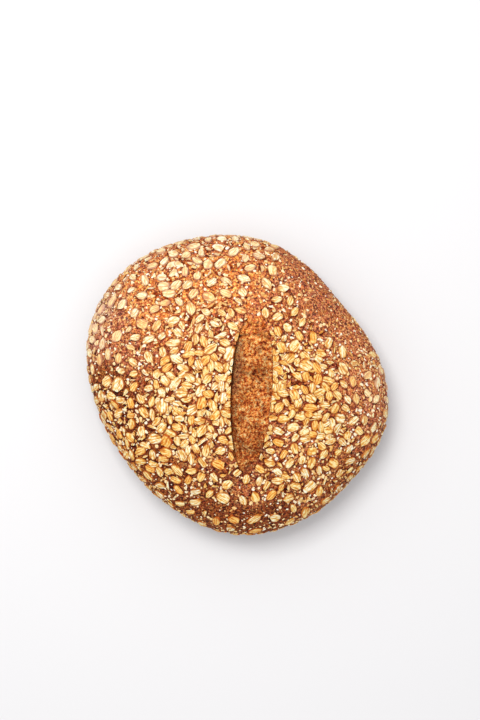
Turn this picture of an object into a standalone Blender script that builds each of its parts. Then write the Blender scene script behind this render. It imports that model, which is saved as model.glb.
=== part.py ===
"""Round sourdough loaf: an uneven dome on a flat base, with one long score and rolled oats baked on.

Run with: blender --background --python part.py
Metres, +Z up. +Y is the end where the score starts, and the loaf rests on its flat base at z = 0.
"""

import math
import random

import bmesh
import bpy
import numpy as np
from mathutils import Matrix, Vector, noise

# The loaf's size and section
MEAN_RADIUS = 0.1163
LOAF_HEIGHT = 0.083
WIDEST_HEIGHT = 0.031
CROWN_POWER = 2.25  # 2 is an ellipse, more is flatter on top and fuller at the shoulder
BASE_POWER = 3.6
BASE_OVERDRAW = 1.12  # the rounded foot is drawn this much too deep, then cut flat at z = 0

# The outline seen from above: (waves round the loaf, share of the radius, direction of a crest in degrees)
OUTLINE_WAVES = (
    (1, 0.018, 143.0),
    (2, 0.070, -46.0),
    (3, 0.014, 10.0),
    (4, 0.018, -10.0),
    (5, 0.010, -3.0),
)
LUMP_HEIGHT = 0.0016
LUMPS_ACROSS = 2.6

# The score: a leaf-shaped opening whose left lip overhangs its floor
SCORE_START = Vector((0.0142, 0.0530))
SCORE_END = Vector((0.0066, -0.0670))
SCORE_LINE = SCORE_END - SCORE_START
SCORE_RIGHT = Vector((-SCORE_LINE.y, SCORE_LINE.x)).normalized()
SCORE_HALF_WIDTH = 0.0156
SCORE_SKEW = 0.82  # under 1 puts the widest place above the middle
SCORE_BLUNTNESS = 0.42  # under 1 fills out the two ends
SCORE_DEEP_SIDE = 0.0075
SCORE_SHALLOW_SIDE = 0.0022
SCORE_LEAST_DEPTH = 0.0006
SCORE_END_DEPTH = 0.25  # the share of the depth that is left at the two ends
SCORE_UNDERCUT = 0.0022

# Where things begin and end: shares along the score, or of its half width, each pair run through smooth_step
DEPTH_ACROSS = (-0.85, -0.10)
DEPTH_AT_START = (0.0, 0.30)
DEPTH_AT_END = (1.0, 0.72)
UNDERCUT_AT_START = (0.10, 0.40)
UNDERCUT_AT_END = (0.98, 0.70)
LEDGE_ALONG = (0.12, 0.14)
LEDGE_DROP = 0.0013

# The lips beside the score, lifted by the oven
EAR_RISE = 0.0024
EAR_REACH = 0.011
EAR_RIGHT_SHARE = 0.35
EAR_AT_START = (-0.05, 0.30)
EAR_AT_END = (1.05, 0.70)

# Rolled oats, the large ones only, spread evenly by a seeded rule
OAT_SEED = 11
OAT_TRIES = 15000
OAT_MOST = 280
OAT_LENGTH = 0.0098
OAT_LENGTH_SPREAD = 0.0009
OAT_LENGTH_LIMITS = (0.0082, 0.0118)
OAT_WIDTH_SHARE = (0.56, 0.76)
OAT_THICKNESS = 0.0011
OAT_ROOT = 0.0016
OAT_SIDES = 6
OAT_RIM_SHARE = 0.82  # the top face's size beside the foot's
OAT_GAP = 0.0018
BARE_GAP = 0.030  # added to the gap in the middle of a bare patch
OAT_LOWEST_CLIMB = -0.3  # the sine of the climb from which oats are tried
OAT_LOWEST = 0.010
OAT_FULL_FROM = 0.036  # the height from which oats lie as thick as on the crown
SCORE_CLEARANCE = 0.0012

# Places that the oats leave thin or bare: (x, y, half length, half width, turn in degrees, how bare from 0 to 1)
BARE_PATCHES = (
    (0.078, 0.066, 0.058, 0.027, -46.0, 1.00),
    (0.006, -0.095, 0.034, 0.009, 0.0, 1.00),
    (0.006, -0.104, 0.056, 0.016, 0.0, 0.30),
    (0.014, 0.068, 0.016, 0.009, 90.0, 1.00),
    (0.004, 0.088, 0.030, 0.012, 0.0, 0.14),
    (-0.093, 0.049, 0.014, 0.010, 50.0, 1.00),
    (-0.079, 0.073, 0.032, 0.020, 45.0, 0.20),
    (-0.103, 0.013, 0.010, 0.005, 90.0, 1.00),
    (-0.080, 0.016, 0.026, 0.016, 60.0, 0.12),
    (0.107, 0.000, 0.042, 0.016, -80.0, 0.22),
    (0.070, -0.082, 0.040, 0.016, 40.0, 0.12),
    (0.008, -0.080, 0.013, 0.006, 0.0, 1.00),
    (-0.045, -0.060, 0.009, 0.004, -20.0, 1.00),
)
BARE_EDGE = (0.60, 1.15)  # a patch ends gradually between these shares of its size

# How finely the solids are made
LOAF_SEGMENTS = 48
LOAF_RINGS = 28
SCORE_STEPS_ALONG = 24
SCORE_STEPS_ACROSS = 8
SCORE_END_TRIM = 0.002  # the leaf's two points are left this share short, so that no face is a sliver
CUTTER_ABOVE = 0.012
SURFACE_STEP = 0.01  # radians to either side, for a frame on the crust

CRUST_COLOUR = (0.42, 0.17, 0.07, 1.0)
CRUST_ROUGHNESS = 0.62
SHARP_ANGLE = math.radians(35)


def smooth_step(low, high, value):
    """0 before low, 1 past high, and an even rise between them. high may be the lower of the two."""
    share = min(1.0, max(0.0, (value - low) / (high - low)))
    return share * share * (3 - 2 * share)


def outline_radius(azimuth):
    """From the loaf's middle to its widest line, in one direction."""
    swell = sum(
        share * math.cos(waves * (azimuth - math.radians(crest)))
        for waves, share, crest in OUTLINE_WAVES
    )
    return MEAN_RADIUS * (1 + swell)


def outline_centre():
    """The middle of the outline's bounding box, which becomes the origin."""
    turns = [math.radians(degree) for degree in range(360)]
    xs = [outline_radius(turn) * math.cos(turn) for turn in turns]
    ys = [outline_radius(turn) * math.sin(turn) for turn in turns]
    return Vector(((min(xs) + max(xs)) / 2, (min(ys) + max(ys)) / 2, 0))


OUTLINE_CENTRE = outline_centre()


def score_spot(share, across):
    """The point seen from above at a share of the way along the score and an offset to its right."""
    return SCORE_START + SCORE_LINE * share + SCORE_RIGHT * across


def score_place(x, y):
    """The share along the score and the offset to its right of a point seen from above."""
    from_start = Vector((x, y)) - SCORE_START
    return from_start.dot(SCORE_LINE) / SCORE_LINE.length_squared, from_start.dot(SCORE_RIGHT)


def score_half_width(share):
    """Half the opening's width: blunt at both ends, fullest above the middle."""
    if not 0 < share < 1:
        return 0.0
    return SCORE_HALF_WIDTH * math.sin(math.pi * share**SCORE_SKEW) ** SCORE_BLUNTNESS


def ear_rise(x, y):
    """How far the baked-up lips lift beside the score, most at its left edge."""
    share, across = score_place(x, y)
    along = smooth_step(*EAR_AT_START, share) * smooth_step(*EAR_AT_END, share)
    beyond = max(0.0, abs(across) - score_half_width(share))
    side = 1.0 if across < 0 else EAR_RIGHT_SHARE
    return EAR_RISE * side * along * math.exp(-beyond / EAR_REACH)


def crust_point(azimuth, climb):
    """A point of the unscored crust. climb is -90 degrees at the base and 90 at the crown."""
    power = CROWN_POWER if climb > 0 else BASE_POWER
    reach = max(0.0, math.cos(climb)) ** (2 / power)
    rise = abs(math.sin(climb)) ** (2 / power)
    radius = outline_radius(azimuth) * reach
    if climb > 0:
        height = WIDEST_HEIGHT + (LOAF_HEIGHT - WIDEST_HEIGHT) * rise
    else:
        height = WIDEST_HEIGHT * (1 - BASE_OVERDRAW * rise)
    point = Vector((radius * math.cos(azimuth), radius * math.sin(azimuth), height)) - OUTLINE_CENTRE
    level = math.cos(climb)
    outward = Vector((math.cos(azimuth) * level, math.sin(azimuth) * level, math.sin(climb)))
    point += outward * LUMP_HEIGHT * noise.noise(outward * LUMPS_ACROSS)
    if climb > 0:
        point.z += ear_rise(point.x, point.y)
    point.z = max(0.0, point.z)
    return point


def crown_height(x, y):
    """The height of the unscored crust above a point."""
    from_middle = Vector((x, y, 0)) + OUTLINE_CENTRE
    azimuth = math.atan2(from_middle.y, from_middle.x)
    reach = min(1.0, from_middle.length / outline_radius(azimuth))
    return crust_point(azimuth, math.acos(reach ** (CROWN_POWER / 2))).z


def score_floor_depth(share, side):
    """Depth of the score's floor under the crust; side is -1 at the left lip and 1 at the right one."""
    across = smooth_step(*DEPTH_ACROSS, side)
    depth = SCORE_DEEP_SIDE + (SCORE_SHALLOW_SIDE - SCORE_DEEP_SIDE) * across
    ends = smooth_step(*DEPTH_AT_START, share) * smooth_step(*DEPTH_AT_END, share)
    depth *= SCORE_END_DEPTH + (1 - SCORE_END_DEPTH) * ends
    ledge = LEDGE_DROP * (1 - smooth_step(*LEDGE_ALONG, share)) * (1 - side * side)
    return max(SCORE_LEAST_DEPTH, depth - ledge)


def new_object(name, mesh, collection):
    made = bpy.data.objects.new(name, mesh)
    collection.objects.link(made)
    return made


def mesh_from(bm, name):
    mesh = bpy.data.meshes.new(name)
    bmesh.ops.recalc_face_normals(bm, faces=bm.faces)
    bm.to_mesh(mesh)
    bm.free()
    return mesh


def loaf_mesh():
    """A sphere whose points are carried onto the crust, with its flat base as one face."""
    bm = bmesh.new()
    bmesh.ops.create_uvsphere(bm, u_segments=LOAF_SEGMENTS, v_segments=LOAF_RINGS, radius=1)
    for vert in bm.verts:
        azimuth = math.atan2(vert.co.y, vert.co.x)
        climb = math.asin(max(-1.0, min(1.0, vert.co.z)))
        vert.co = crust_point(azimuth, climb)
    base = [face for face in bm.faces if max(vert.co.z for vert in face.verts) < 1e-5]
    bmesh.ops.dissolve_faces(bm, faces=base)
    return mesh_from(bm, "loaf")


def score_cutter_mesh():
    """The space that the score opens: a grid on its floor, drawn up through the crust."""
    bm = bmesh.new()
    side_of = bm.verts.layers.float.new("side")
    share_of = bm.verts.layers.float.new("share")
    bmesh.ops.create_grid(bm, x_segments=SCORE_STEPS_ACROSS, y_segments=SCORE_STEPS_ALONG, size=1)
    for vert in bm.verts:
        side = vert.co.x
        share = SCORE_END_TRIM + (1 - 2 * SCORE_END_TRIM) * (1 - vert.co.y) / 2
        vert[side_of] = side
        vert[share_of] = share
        lip = score_spot(share, side * score_half_width(share))
        undercut = smooth_step(*UNDERCUT_AT_START, share) * smooth_step(*UNDERCUT_AT_END, share)
        floor = lip - SCORE_RIGHT * SCORE_UNDERCUT * undercut * max(0.0, -side)
        height = crown_height(lip.x, lip.y) - score_floor_depth(share, side)
        vert.co = Vector((floor.x, floor.y, height))
    drawn = bmesh.ops.extrude_face_region(bm, geom=bm.faces[:])["geom"]
    for vert in (part for part in drawn if isinstance(part, bmesh.types.BMVert)):
        lip = score_spot(vert[share_of], vert[side_of] * score_half_width(vert[share_of]))
        vert.co = Vector((lip.x, lip.y, LOAF_HEIGHT + CUTTER_ABOVE))
    return mesh_from(bm, "score_cutter")


def bareness(place):
    """0 where oats lie thick and 1 in the middle of a bare patch and at the foot of the loaf."""
    most = 1 - smooth_step(OAT_LOWEST, OAT_FULL_FROM, place.z)
    for x, y, half_length, half_width, turn, how_bare in BARE_PATCHES:
        away = Matrix.Rotation(-math.radians(turn), 2) @ (place.xy - Vector((x, y)))
        distance = math.hypot(away.x / half_length, away.y / half_width)
        most = max(most, how_bare * (1 - smooth_step(*BARE_EDGE, distance)))
    return most


def on_crust(azimuth, climb, turn):
    """A frame on the crust, with z out of it and x turned in its plane, and the crust's area for a unit of
    solid angle there."""
    step = SURFACE_STEP
    across = crust_point(azimuth + step, climb) - crust_point(azimuth - step, climb)
    up = crust_point(azimuth, climb + step) - crust_point(azimuth, climb - step)
    outward = across.cross(up)
    stretch = outward.length / (4 * step * step * math.cos(climb))
    outward.normalize()
    along = (Matrix.Rotation(turn, 3, outward) @ across).normalized()
    frame = Matrix((along, outward.cross(along), outward)).transposed().to_4x4()
    return Matrix.Translation(crust_point(azimuth, climb)) @ frame, stretch


def clear_of_score(place, reach):
    """True where a flake of that reach stays off the score's floor."""
    share, across = score_place(place.x, place.y)
    inside = min(1 - SCORE_END_TRIM, max(SCORE_END_TRIM, share))
    past_end = abs(share - inside) * SCORE_LINE.length
    beyond = max(0.0, abs(across) - score_half_width(inside))
    return math.hypot(beyond, past_end) > reach


def scatter_oats():
    """The frame, length and width of each oat. They keep off the score and off each other."""
    draw = random.Random(OAT_SEED)
    taken, widths, oats = np.zeros((0, 3)), np.zeros(0), []
    for _ in range(OAT_TRIES):
        azimuth = draw.uniform(-math.pi, math.pi)
        climb = math.asin(draw.uniform(OAT_LOWEST_CLIMB, 1.0))
        turn = draw.uniform(0, math.tau)
        shortest, longest = OAT_LENGTH_LIMITS
        length = min(longest, max(shortest, draw.gauss(OAT_LENGTH, OAT_LENGTH_SPREAD)))
        width = length * draw.uniform(*OAT_WIDTH_SHARE)
        luck = draw.random()
        frame, stretch = on_crust(azimuth, climb, turn)
        place = frame.translation
        if luck > stretch / MEAN_RADIUS**2 or place.z < OAT_LOWEST:
            continue
        if climb > 0 and not clear_of_score(place, SCORE_CLEARANCE + width / 2):
            continue
        ends = np.array([frame @ Vector(((length - width) / 2 * end, 0, 0)) for end in (-1, 0, 1)])
        gaps = np.linalg.norm(taken[:, None] - ends[None], axis=2).min(axis=1) - (widths + width) / 2
        if len(gaps) and gaps.min() < OAT_GAP + BARE_GAP * bareness(place):
            continue
        taken = np.vstack((taken, ends))
        widths = np.append(widths, [width] * 3)
        oats.append((frame, length, width))
    return oats[:OAT_MOST]


def oat_mesh(length, width):
    """A rolled oat as a flake with few sides, pointed at both ends and rooted in the crust."""
    half_side = math.pi / OAT_SIDES
    bm = bmesh.new()
    bmesh.ops.create_cone(
        bm,
        cap_ends=True,
        segments=OAT_SIDES,
        radius1=0.5,
        radius2=0.5 * OAT_RIM_SHARE,
        depth=OAT_THICKNESS + OAT_ROOT,
    )
    bmesh.ops.rotate(bm, verts=bm.verts, matrix=Matrix.Rotation(half_side, 3, "Z"))
    bmesh.ops.scale(bm, verts=bm.verts, vec=(length, width / math.cos(half_side), 1))
    bmesh.ops.translate(bm, verts=bm.verts, vec=(0, 0, (OAT_THICKNESS - OAT_ROOT) / 2))
    return mesh_from(bm, "oat")


def crust_material():
    material = bpy.data.materials.new("baked_crust")
    material.use_nodes = True
    shader = material.node_tree.nodes["Principled BSDF"]
    shader.inputs["Base Color"].default_value = CRUST_COLOUR
    shader.inputs["Roughness"].default_value = CRUST_ROUGHNESS
    shader.inputs["Metallic"].default_value = 0.0
    return material


def apply_boolean(target, operation, solver, **operand):
    """Adds one Boolean to target and makes its result target's mesh."""
    cut = target.modifiers.new(operation.lower(), "BOOLEAN")
    cut.operation = operation
    cut.solver = solver
    for name, value in operand.items():
        setattr(cut, name, value)
    bpy.context.view_layer.update()
    graph = bpy.context.evaluated_depsgraph_get()
    result = bpy.data.meshes.new_from_object(target.evaluated_get(graph))
    target.modifiers.clear()
    target.data = result


def main():
    for old in list(bpy.data.objects):
        bpy.data.objects.remove(old)
    loaf_parts = bpy.data.collections.new("sourdough_loaf")
    cutters = bpy.data.collections.new("cutters")
    toppings = bpy.data.collections.new("oats_to_fuse")
    for collection in (loaf_parts, cutters, toppings):
        bpy.context.scene.collection.children.link(collection)

    loaf = new_object("loaf", loaf_mesh(), loaf_parts)
    cutter = new_object("score_cutter", score_cutter_mesh(), cutters)
    cutter.hide_render = True
    cutter.display_type = "WIRE"
    apply_boolean(loaf, "DIFFERENCE", "EXACT", object=cutter)

    for number, (frame, length, width) in enumerate(scatter_oats()):
        oat = new_object(f"oat_{number:03d}", oat_mesh(length, width), toppings)
        oat.matrix_world = frame
        oat.hide_render = True
    apply_boolean(loaf, "UNION", "MANIFOLD", operand_type="COLLECTION", collection=toppings)
    for oat in list(toppings.objects):
        bpy.data.objects.remove(oat)

    loaf.data.materials.clear()
    loaf.data.materials.append(crust_material())
    loaf.data.shade_smooth()
    loaf.data.set_sharp_from_angle(angle=SHARP_ANGLE)


main()
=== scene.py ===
# %% [markdown]
# # A sourdough loaf rolled in oats
#
# The real thing is one piece of baked dough. Before it went into the oven its skin was wetted and rolled in
# oats, and one long cut was made down the crown, which tore open and browned while the loaf rose. This file
# dresses the plain solid of that loaf: first the camera and the light, then the crust with its opened
# score, then the oats, the broken oats, the crumbs of oat and the flecks of bran, each as a mesh of its
# own.

# %% Load the frame
import math
import random

import bmesh
import bpy
import numpy as np
from mathutils import Matrix, Vector, kdtree, noise


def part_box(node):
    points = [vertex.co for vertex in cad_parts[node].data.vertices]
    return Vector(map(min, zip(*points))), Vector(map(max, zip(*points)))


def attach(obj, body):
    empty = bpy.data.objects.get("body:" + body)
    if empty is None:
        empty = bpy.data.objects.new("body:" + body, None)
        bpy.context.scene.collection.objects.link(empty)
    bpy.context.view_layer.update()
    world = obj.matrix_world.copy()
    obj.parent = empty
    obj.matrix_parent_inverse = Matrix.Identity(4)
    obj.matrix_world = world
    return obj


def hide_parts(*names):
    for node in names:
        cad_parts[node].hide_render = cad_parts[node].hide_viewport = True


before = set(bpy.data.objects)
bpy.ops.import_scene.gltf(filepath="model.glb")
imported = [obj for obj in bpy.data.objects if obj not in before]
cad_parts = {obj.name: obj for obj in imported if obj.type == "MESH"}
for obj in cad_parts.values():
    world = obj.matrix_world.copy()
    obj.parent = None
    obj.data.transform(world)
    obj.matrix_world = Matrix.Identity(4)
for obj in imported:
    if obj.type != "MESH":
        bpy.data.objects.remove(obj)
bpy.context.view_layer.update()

LOW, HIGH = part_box("loaf")
print("the solid loaf's box in mm:", [round(1000 * (high - low), 1) for low, high in zip(LOW, HIGH)])

# %% [markdown]
# ## The camera
#
# The loaf is seen from straight above, as on a worktop at arm's length. A camera that looks down needs no
# turning at all in Blender: unturned, it looks along -Z with +Y up in the picture. Its lens follows from
# how many pixels one metre covers at one metre's distance, so the loaf fills the frame as it does in the
# photo.

# %% Look straight down
PHOTO_HEIGHT_PX = 720
PIXELS_A_METRE = 1212  # on something one metre away
CAMERA_PLACE = (0.0020, 0.0196, 1.0)
SENSOR_MM = 36.0

camera_data = bpy.data.cameras.new("camera")
camera_data.sensor_width = SENSOR_MM
camera_data.lens = SENSOR_MM * PIXELS_A_METRE / PHOTO_HEIGHT_PX
camera = bpy.data.objects.new("camera", camera_data)
camera.location = CAMERA_PLACE
bpy.context.scene.collection.objects.link(camera)
bpy.context.scene.camera = camera
print("lens in mm:", round(camera_data.lens, 1))

# %% [markdown]
# ## Colours and nodes
#
# Colours are written as sRGB hex values, the way a colour picker shows them, but Blender's shaders count in
# linear light, so one function turns the one into the other. Another adds any node: its own settings, what
# goes into its sockets (a value, or the socket that feeds it) and, for a colour ramp, its stops.


# %% Two helpers for every material
def linear(code):
    """The linear colour of an sRGB hex value."""
    parts = [int(code[place : place + 2], 16) / 255 for place in (1, 3, 5)]
    return [part / 12.92 if part <= 0.04045 else ((part + 0.055) / 1.055) ** 2.4 for part in parts] + [1.0]


def add_node(tree, kind, inputs=None, stops=None, **settings):
    """A new node of tree with its settings and its links."""
    node = tree.nodes.new("ShaderNode" + kind)
    for name, value in settings.items():
        setattr(node, name, value)
    for name, value in (inputs or {}).items():
        if isinstance(value, bpy.types.NodeSocket):
            tree.links.new(value, node.inputs[name])
        else:
            node.inputs[name].default_value = value
    if stops:
        elements = node.color_ramp.elements
        elements.remove(elements[1])
        elements[0].position = stops[0][0]
        for place, _ in stops[1:]:
            elements.new(place)
        for element, (_, code) in zip(elements, stops):
            element.color = linear(code)
    return node


def new_material(name):
    """An empty material, with the node tree and its output."""
    material = bpy.data.materials.new(name)
    material.use_nodes = True
    material.node_tree.nodes.clear()
    return material, material.node_tree, material.node_tree.nodes.new("ShaderNodeOutputMaterial")


# %% [markdown]
# ## The floor and the light
#
# The loaf lies on something pale and plain. The light is one soft window high at the upper left, 45 cm
# across, which leaves a thin dark line on the lower right of each oat, and a bright room round it, which
# keeps that line short and fills the score.

# %% Floor, window and room
FLOOR_SIZE = 3.0
FLOOR_GAP = 0.0001  # under the flat base, so that the two faces don't share a plane
WINDOW_PLACE = Vector((-0.20, 0.35, 1.15))
WINDOW_SIZE = 0.45
WINDOW_WATTS = 9.95
ROOM_STRENGTH = 0.96


def make_stage():
    bm = bmesh.new()
    bmesh.ops.create_grid(bm, x_segments=1, y_segments=1, size=FLOOR_SIZE / 2)
    bmesh.ops.translate(bm, verts=bm.verts, vec=(0, 0, -FLOOR_GAP))
    mesh = bpy.data.meshes.new("floor")
    bm.to_mesh(mesh)
    bm.free()
    floor = bpy.data.objects.new("floor", mesh)
    bpy.context.scene.collection.objects.link(floor)
    material, tree, output = new_material("pale_floor")
    shader = add_node(tree, "BsdfPrincipled", {"Base Color": linear("#d2d1d1"), "Roughness": 0.55})
    tree.links.new(shader.outputs[0], output.inputs["Surface"])
    mesh.materials.append(material)

    window_data = bpy.data.lights.new("window", "AREA")
    window_data.size = WINDOW_SIZE
    window_data.energy = WINDOW_WATTS
    window = bpy.data.objects.new("window", window_data)
    window.location = WINDOW_PLACE
    window.rotation_euler = (-WINDOW_PLACE).to_track_quat("-Z", "Y").to_euler()
    bpy.context.scene.collection.objects.link(window)

    room = bpy.data.worlds.new("room")
    room.use_nodes = True
    room.node_tree.nodes["Background"].inputs["Color"].default_value = linear("#fdfdff")
    room.node_tree.nodes["Background"].inputs["Strength"].default_value = ROOM_STRENGTH
    bpy.context.scene.world = room
    bpy.context.scene.view_settings.view_transform = "Standard"


make_stage()

# %% [markdown]
# ## The loaf's form
#
# A hearth loaf is a dome that sagged a little on the stone: nearly round from above, fuller at the
# shoulders than a ball, with a rounded foot and a flat base. Two angles name a point on it, as longitude
# and latitude do on a globe. The outline is a circle with a few waves added, each a whole number of waves
# round the loaf, and the section is a superellipse. These are the solid's own sizes, so that the crust made
# here keeps to it.

# %% The unscored crust, as a formula
MEAN_RADIUS = 0.1163
LOAF_HEIGHT = 0.083
WIDEST_HEIGHT = 0.031
CROWN_POWER = 2.25
BASE_POWER = 3.6
BASE_OVERDRAW = 1.12
OUTLINE_WAVES = (  # waves round the loaf, share of the radius, direction of a crest in degrees
    (1, 0.018, 143.0),
    (2, 0.070, -46.0),
    (3, 0.014, 10.0),
    (4, 0.018, -10.0),
    (5, 0.010, -3.0),
)
LUMP_HEIGHT = 0.0016
LUMPS_ACROSS = 2.6


def smooth_step(low, high, value):
    """0 before low, 1 past high, and an even rise between them. high may be the lower of the two."""
    share = min(1.0, max(0.0, (value - low) / (high - low)))
    return share * share * (3 - 2 * share)


def outline_radius(azimuth):
    swell = sum(
        share * math.cos(waves * (azimuth - math.radians(crest)))
        for waves, share, crest in OUTLINE_WAVES
    )
    return MEAN_RADIUS * (1 + swell)


def outline_centre():
    """The middle of the outline's box, which is the origin."""
    turns = [math.radians(degree) for degree in range(360)]
    xs = [outline_radius(turn) * math.cos(turn) for turn in turns]
    ys = [outline_radius(turn) * math.sin(turn) for turn in turns]
    return Vector(((min(xs) + max(xs)) / 2, (min(ys) + max(ys)) / 2, 0))


OUTLINE_CENTRE = outline_centre()

# %% [markdown]
# ## The score
#
# The baker's cut opened into a long leaf. Its left lip lifted and hangs a little over the floor of the cut,
# which is where the dark line comes from, and the floor slopes up to the right until it is nearly flush
# with the other lip. The opening is a named shape in two measures: the share of the way along it, and the
# distance across it.

# %% The score, as a formula
SCORE_START = Vector((0.0142, 0.0530))
SCORE_END = Vector((0.0066, -0.0670))
SCORE_LINE = SCORE_END - SCORE_START
SCORE_RIGHT = Vector((-SCORE_LINE.y, SCORE_LINE.x)).normalized()
SCORE_HALF_WIDTH = 0.0156
SCORE_SKEW = 0.82
SCORE_BLUNTNESS = 0.42
SCORE_DEEP_SIDE = 0.0075
SCORE_SHALLOW_SIDE = 0.0022
SCORE_LEAST_DEPTH = 0.0006
SCORE_END_DEPTH = 0.25
SCORE_UNDERCUT = 0.0022
DEPTH_ACROSS = (-0.85, -0.10)
DEPTH_AT_START = (0.0, 0.30)
DEPTH_AT_END = (1.0, 0.72)
UNDERCUT_AT_START = (0.10, 0.40)
UNDERCUT_AT_END = (0.98, 0.70)
LEDGE_ALONG = (0.12, 0.14)
LEDGE_DROP = 0.0013
EAR_RISE = 0.0024
EAR_REACH = 0.011
EAR_RIGHT_SHARE = 0.35
EAR_AT_START = (-0.05, 0.30)
EAR_AT_END = (1.05, 0.70)


def score_spot(share, across):
    return SCORE_START + SCORE_LINE * share + SCORE_RIGHT * across


def score_place(x, y):
    from_start = Vector((x, y)) - SCORE_START
    return from_start.dot(SCORE_LINE) / SCORE_LINE.length_squared, from_start.dot(SCORE_RIGHT)


def score_half_width(share):
    if not 0 < share < 1:
        return 0.0
    return SCORE_HALF_WIDTH * math.sin(math.pi * share**SCORE_SKEW) ** SCORE_BLUNTNESS


def ear_rise(x, y):
    """How far the baked-up lips lift beside the score."""
    share, across = score_place(x, y)
    along = smooth_step(*EAR_AT_START, share) * smooth_step(*EAR_AT_END, share)
    beyond = max(0.0, abs(across) - score_half_width(share))
    side = 1.0 if across < 0 else EAR_RIGHT_SHARE
    return EAR_RISE * side * along * math.exp(-beyond / EAR_REACH)


def crust_point(azimuth, climb):
    """A point of the unscored crust. climb is -90 degrees at the base and 90 at the crown."""
    power = CROWN_POWER if climb > 0 else BASE_POWER
    reach = max(0.0, math.cos(climb)) ** (2 / power)
    rise = abs(math.sin(climb)) ** (2 / power)
    radius = outline_radius(azimuth) * reach
    if climb > 0:
        height = WIDEST_HEIGHT + (LOAF_HEIGHT - WIDEST_HEIGHT) * rise
    else:
        height = WIDEST_HEIGHT * (1 - BASE_OVERDRAW * rise)
    point = Vector((radius * math.cos(azimuth), radius * math.sin(azimuth), height)) - OUTLINE_CENTRE
    level = math.cos(climb)
    outward = Vector((math.cos(azimuth) * level, math.sin(azimuth) * level, math.sin(climb)))
    point += outward * LUMP_HEIGHT * noise.noise(outward * LUMPS_ACROSS)
    if climb > 0:
        point.z += ear_rise(point.x, point.y)
    point.z = max(0.0, point.z)
    return point


def crust_angles(x, y):
    """The two angles of the crust's point above a point."""
    from_middle = Vector((x, y, 0)) + OUTLINE_CENTRE
    azimuth = math.atan2(from_middle.y, from_middle.x)
    reach = min(1.0, from_middle.length / outline_radius(azimuth))
    return azimuth, math.acos(reach ** (CROWN_POWER / 2))


def crown_height(x, y):
    """The height of the unscored crust above a point."""
    return crust_point(*crust_angles(x, y)).z


def score_floor_depth(share, side):
    """Depth of the floor under the crust; side is -1 at the left lip and 1 at the right one."""
    across = smooth_step(*DEPTH_ACROSS, side)
    depth = SCORE_DEEP_SIDE + (SCORE_SHALLOW_SIDE - SCORE_DEEP_SIDE) * across
    ends = smooth_step(*DEPTH_AT_START, share) * smooth_step(*DEPTH_AT_END, share)
    depth *= SCORE_END_DEPTH + (1 - SCORE_END_DEPTH) * ends
    ledge = LEDGE_DROP * (1 - smooth_step(*LEDGE_ALONG, share)) * (1 - side * side)
    return max(SCORE_LEAST_DEPTH, depth - ledge)


print("score length in mm:", round(1000 * SCORE_LINE.length, 1))

# %% [markdown]
# ## Where the oats lie
#
# The dough was rolled in oats by hand, so they lie thick in two fields beside the score and thin on the
# upper right shoulder and along the bottom edge. The solid already carries its largest oats. They are found
# again here by the same rule with the same seed, which puts them in the same places, and more are laid
# between and over them by a second rule, so nothing has to be listed one by one.

# %% The first oats, as in the solid
# length has a mean and a spread, and past_lip is how far an oat may reach over the score's lip
FIRST = {
    "seed": 11, "tries": 15000, "length": (0.0098, 0.0009), "limits": (0.0082, 0.0118),
    "width_share": (0.56, 0.76), "gap": 0.0018, "past_lip": -0.0012,
}
BARE_GAP = 0.030
OAT_LOWEST_CLIMB = -0.3
OAT_LOWEST = 0.010
OAT_FULL_FROM = 0.036
SCORE_END_TRIM = 0.002
SURFACE_STEP = 0.01
TILT_MOST = math.radians(14)
TILT_LIFT = 0.0004
TILT_FULL_AT = 0.0020
BARE_PATCHES = (  # x, y, half length, half width, turn in degrees, how bare
    (0.078, 0.066, 0.058, 0.027, -46.0, 1.00),
    (0.006, -0.095, 0.034, 0.009, 0.0, 1.00),
    (0.006, -0.104, 0.056, 0.016, 0.0, 0.30),
    (0.014, 0.068, 0.016, 0.009, 90.0, 1.00),
    (0.004, 0.088, 0.030, 0.012, 0.0, 0.14),
    (-0.093, 0.049, 0.014, 0.010, 50.0, 1.00),
    (-0.079, 0.073, 0.032, 0.020, 45.0, 0.20),
    (-0.103, 0.013, 0.010, 0.005, 90.0, 1.00),
    (-0.080, 0.016, 0.026, 0.016, 60.0, 0.12),
    (0.107, 0.000, 0.042, 0.016, -80.0, 0.22),
    (0.070, -0.082, 0.040, 0.016, 40.0, 0.12),
    (0.008, -0.080, 0.013, 0.006, 0.0, 1.00),
    (-0.045, -0.060, 0.009, 0.004, -20.0, 1.00),
)
BARE_EDGE = (0.60, 1.15)


def patch_distance(place, patch):
    """How far a place is from a patch's middle, where 1 is the patch's edge."""
    x, y, half_length, half_width, turn, _ = patch
    away = Matrix.Rotation(-math.radians(turn), 2) @ (place.xy - Vector((x, y)))
    return math.hypot(away.x / half_length, away.y / half_width)


def bareness(place):
    """0 where oats lie thick and 1 in the middle of a bare patch and at the foot of the loaf."""
    most = 1 - smooth_step(OAT_LOWEST, OAT_FULL_FROM, place.z)
    for patch in BARE_PATCHES:
        most = max(most, patch[5] * (1 - smooth_step(*BARE_EDGE, patch_distance(place, patch))))
    return most


def on_crust(azimuth, climb, turn):
    """A frame on the crust, with z out of it, and the crust's area for a unit of solid angle there."""
    step = SURFACE_STEP
    across = crust_point(azimuth + step, climb) - crust_point(azimuth - step, climb)
    up = crust_point(azimuth, climb + step) - crust_point(azimuth, climb - step)
    outward = across.cross(up)
    stretch = outward.length / (4 * step * step * math.cos(climb))
    outward.normalize()
    along = (Matrix.Rotation(turn, 3, outward) @ across).normalized()
    turned = Matrix((along, outward.cross(along), outward)).transposed().to_4x4()
    return Matrix.Translation(crust_point(azimuth, climb)) @ turned, stretch


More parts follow.
